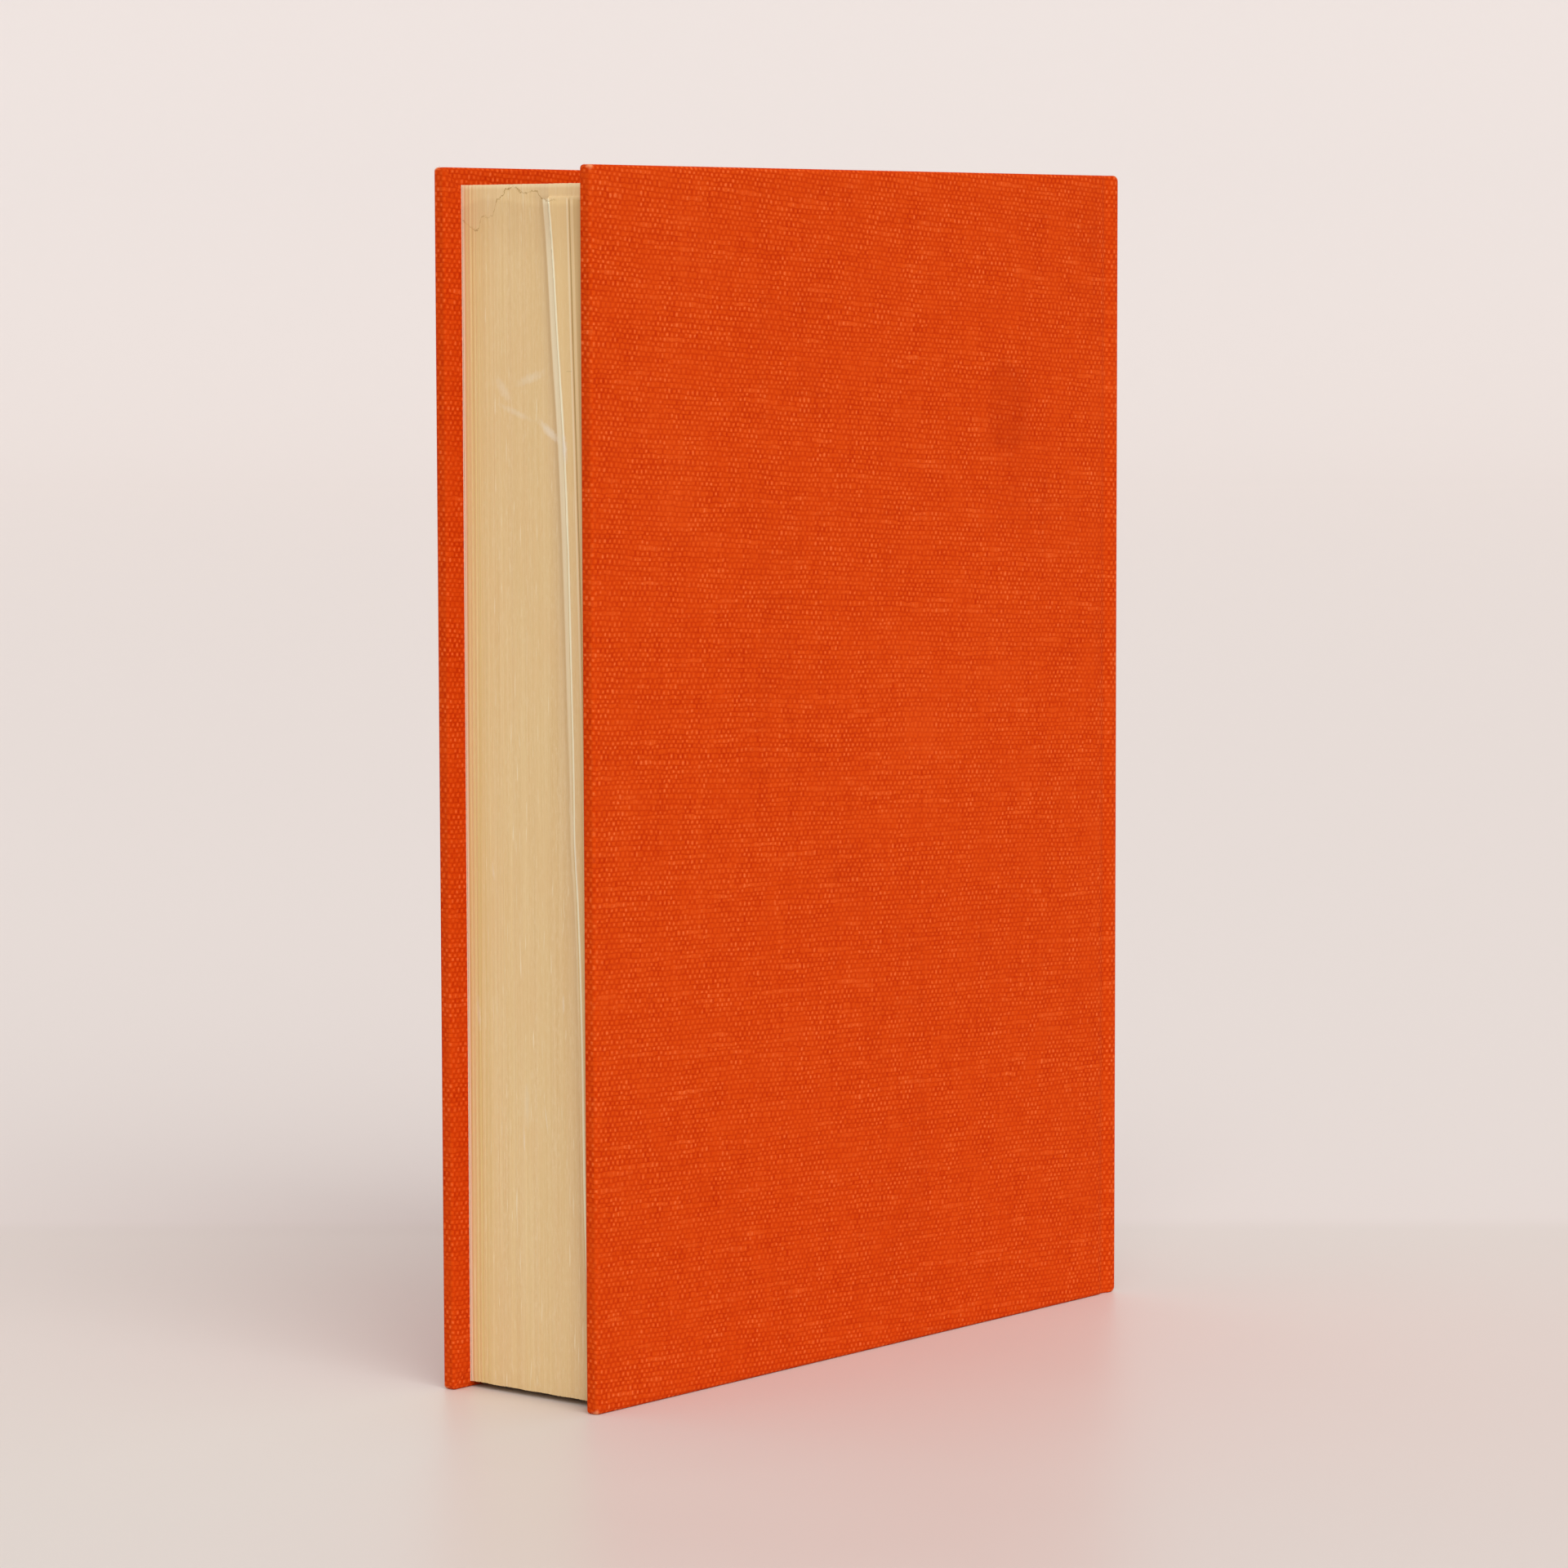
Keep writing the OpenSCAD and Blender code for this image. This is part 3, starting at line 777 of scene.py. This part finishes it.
def pastedown(name, side, material):
    """The pasted half of an endpaper: over the board and the turned-in cloth, down the board's edge
    and across the joint to the shoulder of the pages."""
    wall_x = BOARD - CLOTH - PAPER
    window = FORE - TURN_IN
    near = np.arange(-1.5, 1.6, 0.5) * MM
    xs = np.unique(np.concatenate([np.linspace(paste_high.x, wall_x, 48), window + near,
                                   flap_high.x + near]))[::-1]
    zs = np.unique(np.concatenate([np.linspace(paste_low.z, paste_high.z, 48), TURN_IN + near,
                                   HEAD - TURN_IN + near, flap_low.z + near, flap_high.z + near]))
    board_face = COVER - CLOTH
    flap_depth = HALF - flap_low.y
    rim = 0.6 * MM

    def depth(x, z):
        """Depth of the paper's open face below the cover's outer face."""
        inside = (1 - smooth_step(x, window - rim, window)) * smooth_step(z, TURN_IN, TURN_IN + rim)
        inside = inside * (1 - smooth_step(z, HEAD - TURN_IN - rim, HEAD - TURN_IN))
        on_gauze = (1 - smooth_step(x, flap_high.x, flap_high.x + rim))
        on_gauze = on_gauze * smooth_step(z, flap_low.z - rim, flap_low.z)
        on_gauze = on_gauze * (1 - smooth_step(z, flap_high.z, flap_high.z + rim))
        return COVER + PAPER - inside * (CLOTH - on_gauze * (flap_depth - board_face))

    floor_depth = 2 * CLOTH + PAPER
    columns = [(x, None) for x in xs]
    wall_foot = floor_depth + float(dip(wall_x))
    for share in (0.03, 0.1, 0.35, 0.7, 0.9, 1.0):
        columns.append((wall_x - 0.05 * MM * share, share))
    floor = [(x, floor_depth + float(dip(x))) for x in np.linspace(wall_x - 0.2 * MM, PAGES_BACK + PAPER, 18)]
    points, flat = [], []
    for z in zs:
        line = []
        for x, share in columns:
            top = float(depth(max(x, wall_x), z))
            line.append((x, top if share is None else top + (wall_foot - top) * share))
        line += floor
        points += [(x, side * (HALF - d), z) for x, d in line]
        flat += [((paste_high.x - run) / MM, z / MM) for run in distances(line)]
    faces = grid_faces(len(zs), len(columns) + len(floor))
    if side < 0:
        faces = [tuple(reversed(f)) for f in faces]
    piece = make_mesh(name, points, faces, material, flat)
    return thicken(piece, PAPER)


def flyleaf(name, side, material):
    """The free half of an endpaper, folded down at the back of the pages to meet its other half."""
    outer = HALF_PAGES + PAPER
    shoulder = HALF - 2 * CLOTH - PAPER - float(dip(PAGES_BACK))
    line = [(x, outer) for x in np.linspace(PAGES_FORE, PAGES_BACK + 0.35 * MM, 40)]
    for angle in np.radians((30, 60, 90)):
        line.append((PAGES_BACK + 0.35 * MM - 0.2 * MM * math.sin(angle),
                     outer + 0.2 * MM * (1 - math.cos(angle))))
    line += [(PAGES_BACK + PAPER, y) for y in np.linspace(outer + 0.4 * MM, shoulder, 5)]
    zs = np.linspace(leaf_low.z, leaf_high.z, 40)
    points = [(x, side * y, z) for z in zs for x, y in line]
    flat = [((PAGES_FORE - run) / MM, z / MM) for z in zs for run in distances(line)]
    faces = grid_faces(len(zs), len(line))
    if side > 0:
        faces = [tuple(reversed(f)) for f in faces]
    piece = make_mesh(name, points, faces, material, flat)
    return thicken(piece, PAPER)


def leaf_edges(y, z, random):
    """How far each leaf's edge stands out at the fore-edge, in millimetres. Y and z are in
    millimetres, a row of places across the block and a column of heights."""
    count = len(y)
    jitter = random.normal(0, 0.011, count)
    knots = np.linspace(0, 205, 14)
    drift = np.array([np.interp(z, knots, random.normal(0, 0.009, 14)) for _ in range(count)]).T
    swell = np.interp(y, np.linspace(-15, 15, 24), random.normal(0, 0.02, 24))
    open_part = smooth_step(-y, 9.0, 13.5)
    grooves = -0.05 * open_part * (0.5 + 0.5 * np.sin(y * 2 * math.pi / 0.85 + 1.3)) ** 4
    out = (jitter + swell + grooves)[None, :] + drift

    ridge = np.interp(z, *np.array(RIDGE).T)[:, None]
    proud = np.interp(z, *np.array(PROUD).T)[:, None]
    beside = y[None, :] - ridge
    upper = 1 - smooth_step(z, PROUD_TOP - 0.15, PROUD_TOP + 0.15)[:, None]
    step = smooth_step(beside, -0.12, 0.12)
    crest = np.exp(-((beside - 0.15) / 0.22) ** 2) * 0.12
    lean = np.exp(-np.clip(-beside, 0, None) / 1.8) * (beside < 0) * -0.16
    gap = y[None, :] - np.interp(z, *np.array(LAST).T)[:, None]
    split = -0.12 * np.exp(-(gap / 0.16) ** 2) * smooth_step(z, 70, 150)[:, None]
    return out + upper * (proud * step + crest * proud / 0.4 + lean * proud / 0.4 + split)


def text_block(material):
    """The block of leaves. Each strip of its fore-edge is one leaf or two."""
    random = np.random.default_rng(7)
    half = HALF_PAGES / MM
    y = np.linspace(-half, half, 281)
    foot, top = PAGES_TAIL / MM, PAGES_HEAD / MM
    near_top = np.array((top - 0.25, top - 0.9, top - 1.8, PROUD_TOP + 0.16, PROUD_TOP, PROUD_TOP - 0.16,
                         PROUD_TOP - 0.5, PROUD_TOP - 1.0))
    z = np.unique(np.concatenate([np.linspace(foot, top, 132), near_top]))
    out = leaf_edges(y, z, random)
    # The block's long edges are rounded, more at the back, and its ends are worn a little
    rounded = np.where(y > 0, 0.12, 0.02) * (1 - smooth_step(half - np.abs(y), 0, 0.5))
    out = out - rounded[None, :]
    out = out - 0.1 * smooth_step(z, top - 0.3, top)[:, None]
    out = out - 0.1 * smooth_step(-z, -foot - 0.4, -foot)[:, None]
    head_ragged = random.normal(0, 0.02, len(y)) - 0.04
    tail_ragged = np.abs(random.normal(0, 0.05, len(y))) + 0.03 * np.sin(y * 0.9)
    heights = np.repeat(z[:, None], len(y), 1)
    heights[-1] += head_ragged
    heights[0] += np.clip(tail_ragged, -0.05, 0.2)

    points = [(PAGES_FORE + out[r, c] * MM, y[c] * MM, heights[r, c] * MM)
              for r in range(len(z)) for c in range(len(y))]
    faces = [tuple(reversed(f)) for f in grid_faces(len(z), len(y))]
    columns = len(y)

    def cap(row, upward):
        """The leaves' ends from the fore-edge back to the spine. Returns the numbers of each line."""
        lines = [[row * columns + c for c in range(columns)]]
        for share in (0.02, 0.1, 0.3, 0.6, 0.9, 1.0):
            x = PAGES_FORE + (PAGES_BACK - PAGES_FORE) * share
            ragged = (1 if upward else 1.4) * random.normal(0, 0.012, columns)
            lines.append(list(range(len(points), len(points) + columns)))
            points.extend((x, y[c] * MM, (heights[row, c] + ragged[c]) * MM) for c in range(columns))
        for a, b in zip(lines, lines[1:]):
            for c in range(columns - 1):
                face = (a[c], a[c + 1], b[c + 1], b[c])
                faces.append(face if upward else tuple(reversed(face)))
        return lines

    head = cap(len(z) - 1, True)
    tail = cap(0, False)
    faces.append(tuple(head[-1]) + tuple(reversed(tail[-1])))
    for c, turned in ((0, False), (columns - 1, True)):
        up = [r * columns + c for r in range(len(z))]
        loop = up + [line[c] for line in head[1:]] + [line[c] for line in reversed(tail[1:])]
        faces.append(tuple(reversed(loop)) if turned else tuple(loop))
    return make_mesh("pages", points, faces, material, sharp=55)


def band(name, material, at_head):
    """A band: a corded bead that the thread is wound round, on a tape that is glued to the leaves."""
    radius = (band_high.x - band_low.x) / 2
    centre_x = band_low.x + radius
    edge = PAGES_HEAD if at_head else PAGES_TAIL
    way = 1 if at_head else -1
    tape = PAGES_HEAD - band_low.z
    rounds, steps = 20, 210
    points = []
    for s in range(steps):
        y = -HALF_PAGES + 2 * HALF_PAGES * s / (steps - 1)
        slant = 2 * math.pi * y / (BAND_PITCH * MM)
        for r in range(rounds):
            angle = 2 * math.pi * r / rounds
            bulge = radius * (0.93 + 0.07 * math.cos(slant + angle))
            rise = radius + bulge * math.sin(angle)
            points.append((centre_x + bulge * math.cos(angle), y, edge + way * rise))
    faces = tube_faces(0, steps, rounds, not at_head)

    # The tape is a thin slab, and its edge on the leaves is frayed
    faces += tube_faces(len(points), steps, 4, not at_head)
    for s in range(steps):
        y = -HALF_PAGES + 2 * HALF_PAGES * s / (steps - 1)
        ragged = 0.25 * MM * (math.sin(s * 2.4) + 0.6 * math.sin(s * 5.3))
        far = edge - way * (tape - 0.4 * MM + ragged)
        near = edge + way * 0.4 * radius
        for x, z in ((band_low.x, near), (band_low.x, far), (PAGES_BACK, far), (PAGES_BACK, near)):
            points.append((x, y, z))
    return make_mesh(name, points, faces, material, sharp=45)


def frayed_corner(name, side, low, material, seed):
    """Short loose fibres where the cloth is worn through at a corner of the fore-edge."""
    random = np.random.default_rng(seed)
    end = 0.4 * MM if low else HEAD - 0.4 * MM
    centre = Vector((FORE - 0.35 * MM, side * (HALF - COVER / 2), end))
    way = Vector((1, side * 0.2, -0.5 if low else 0.5))
    points, faces = [], []
    for _ in range(16):
        start = centre + Vector(random.normal(0, 1, 3)) * 0.35 * MM
        start.z = max(start.z, 0.25 * MM)
        start.x = min(start.x, FORE - 0.2 * MM)
        direction = (way + Vector(random.normal(0, 0.55, 3))).normalized()
        length = random.uniform(0.2, 0.5 if low else 0.35) * MM
        bend = Vector(random.normal(0, 0.4, 3))
        radius = random.uniform(0.02, 0.035) * MM
        faces += tube_faces(len(points), 5, 4)
        for share in (0, 0.25, 0.5, 0.75, 1):
            centre_line = start + direction * length * share + bend * length * share * share
            centre_line.z = max(centre_line.z, 0.05 * MM)
            aside = direction.orthogonal().normalized()
            above = direction.cross(aside)
            for corner in range(4):
                angle = math.pi / 2 * corner
                outward = aside * math.cos(angle) + above * math.sin(angle)
                points.append(centre_line + outward * radius * (1.2 - share))
    spots = [(p[0] / MM, p[2] / MM) for p in points]
    return make_mesh(name, points, faces, material, spots)


def paint(node, material):
    """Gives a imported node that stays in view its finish."""
    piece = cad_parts[node]
    piece.data.materials.clear()
    piece.data.materials.append(material)


# Camera: as fitted to ten corners of the covers and the pages in the photograph
CAMERA_PLACE = Vector((0.7295, 0.6087, 0.1860))
CAMERA_AZIMUTH = math.radians(129.94)
CAMERA_DOWN = math.radians(5.27)
CAMERA_ROLL = math.radians(-0.14)
CAMERA_LENS = 125


def camera():
    data = bpy.data.cameras.new("camera")
    data.lens = CAMERA_LENS
    data.sensor_width = 36
    data.sensor_fit = "HORIZONTAL"
    data.clip_start = 0.05
    data.clip_end = 50
    lens = bpy.data.objects.new("camera", data)
    bpy.context.scene.collection.objects.link(lens)
    back = Vector((math.sin(CAMERA_AZIMUTH) * math.cos(CAMERA_DOWN),
                   -math.cos(CAMERA_AZIMUTH) * math.cos(CAMERA_DOWN), math.sin(CAMERA_DOWN)))
    right = (-back).cross(Vector((0, 0, 1))).normalized()
    up = back.cross(right)
    turned_right = right * math.cos(CAMERA_ROLL) + up * math.sin(CAMERA_ROLL)
    turned_up = up * math.cos(CAMERA_ROLL) - right * math.sin(CAMERA_ROLL)
    turn = Matrix((turned_right, turned_up, back)).transposed()
    lens.matrix_world = Matrix.Translation(CAMERA_PLACE) @ turn.to_4x4()
    bpy.context.scene.camera = lens


# Way in which the camera looks, level with the floor, and where the table ends for it, in millimetres
AHEAD = Vector((-math.sin(CAMERA_AZIMUTH), math.cos(CAMERA_AZIMUTH), 0))
TABLE_END = 113
# Height in millimetres at which the wall's colour has changed in full
WALL_HIGH = 300


def stage_material():
    """A pale satin table that gives back a soft reflection, and a paler matt wall behind it."""
    n = Nodes("stage")
    x, y, z = n.place()
    far = n.plus(n.times(x, AHEAD.x), n.times(y, AHEAD.y))
    behind = n.step(far, TABLE_END - 12, TABLE_END + 12)
    cloud = n.noise(x, y, z, (90, 90, 90), 3.0)
    table = n.mix(cloud, colour(223, 215, 210), colour(227, 219, 214))
    # The wall is darker higher up, where it faces the lamp more squarely
    raised = n.math("SQRT", n.times(n.math("MAXIMUM", z, 0.0), 1 / WALL_HIGH))
    wall = n.mix(n.math("MINIMUM", raised, 1.0), colour(231, 223, 220), colour(223, 216, 214))
    base = n.mix(behind, table, wall)
    rough = n.plus(n.plus(0.4, n.wave(cloud, 0.05)), n.times(behind, 0.5))
    return n.finish(base, rough, None, Specular_IOR_Level=0.4)


def stage():
    """A pale sweep: a floor that curves up far behind the book, as the camera looks at it."""
    across = AHEAD.cross(Vector((0, 0, 1)))
    near, reach, bend, tall, wide = -8.0, 4.0, 2.0, 6.0, 9.0
    line = [(near, 0.0), (reach, 0.0)]
    line += [(reach + bend * math.sin(a), bend * (1 - math.cos(a)))
             for a in np.radians(np.linspace(5, 90, 18))]
    line += [(reach + bend, tall)]
    points, faces = [], []
    for far, high in line:
        for aside in (-wide, wide):
            points.append(AHEAD * far + across * aside + Vector((0, 0, high)))
    for k in range(len(line) - 1):
        faces.append((2 * k, 2 * k + 1, 2 * k + 3, 2 * k + 2))
    make_mesh("floor", points, faces, stage_material(), sharp=80)


# Even light of the room, and the lamp: colour, strength, and for the lamp its width and where it stands
ROOM_TINT = (1.0, 0.975, 0.955, 1.0)
ROOM_STRENGTH = 0.62
LAMP_TINT = (1.0, 0.985, 0.965)
LAMP_STRENGTH = 1.65
LAMP_WIDTH = math.radians(55)
LAMP_FROM = Vector((0.5, 0.9, 0.9))


def lights():
    """An even pale room, and one wide soft lamp over the camera's right shoulder."""
    world = bpy.data.worlds.new("room")
    bpy.context.scene.world = world
    world.use_nodes = True
    background = world.node_tree.nodes["Background"]
    background.inputs["Color"].default_value = ROOM_TINT
    background.inputs["Strength"].default_value = ROOM_STRENGTH
    data = bpy.data.lights.new("window", "SUN")
    data.energy = LAMP_STRENGTH
    data.angle = LAMP_WIDTH
    data.color = LAMP_TINT
    lamp = bpy.data.objects.new("window", data)
    bpy.context.scene.collection.objects.link(lamp)
    lamp.rotation_mode = "QUATERNION"
    lamp.rotation_quaternion = LAMP_FROM.to_track_quat("Z", "Y")


camera()
stage()
lights()
bpy.context.scene.view_settings.view_transform = "Standard"

cover_cloth = cloth_material()
endpaper = paper_material()

for side_name, side, seed in (("back", 1, 1.0), ("front", -1, 5.0)):
    cover_body = side_name + "_cover"
    cloth = case_cloth(side_name + "_case_cloth", side, cover_cloth, seed)
    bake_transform(cloth)
    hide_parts(side_name + "_cover_cloth", "spine_cloth")

    pasted = pastedown(side_name + "_pasted_paper", side, endpaper)
    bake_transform(pasted)
    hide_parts(side_name + "_pastedown")

    leaf = flyleaf(side_name + "_free_paper", side, endpaper)
    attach(leaf, "book_block")
    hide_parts(side_name + "_flyleaf")

    for low in (True, False):
        end = "tail" if low else "head"
        fibres = frayed_corner(side_name + "_" + end + "_fibres", side, low, cover_cloth, int(seed) + low)
        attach(fibres, cover_body)

pages = text_block(pages_material())
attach(pages, "book_block")
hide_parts("text_block")

thread = band_material()
for node, at_head in (("headband", True), ("tailband", False)):
    piece = band(node + "_thread", thread, at_head)
    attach(piece, "book_block")
    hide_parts(node)

board = fibre_material("board", colour(150, 130, 100), colour(178, 158, 126), 0.9, 0.85)
card = fibre_material("card", colour(168, 138, 96), colour(192, 164, 122), 0.6, 0.8)
lining = fibre_material("lining_paper", colour(160, 124, 80), colour(184, 150, 104), 0.4, 0.8)
gauze = gauze_material()
FINISHES = {"front_board": board, "back_board": board, "spine_inlay": card, "spine_lining": lining,
            "spine_gauze": gauze, "front_gauze_flap": gauze, "back_gauze_flap": gauze}
for node, material in FINISHES.items():
    paint(node, material)
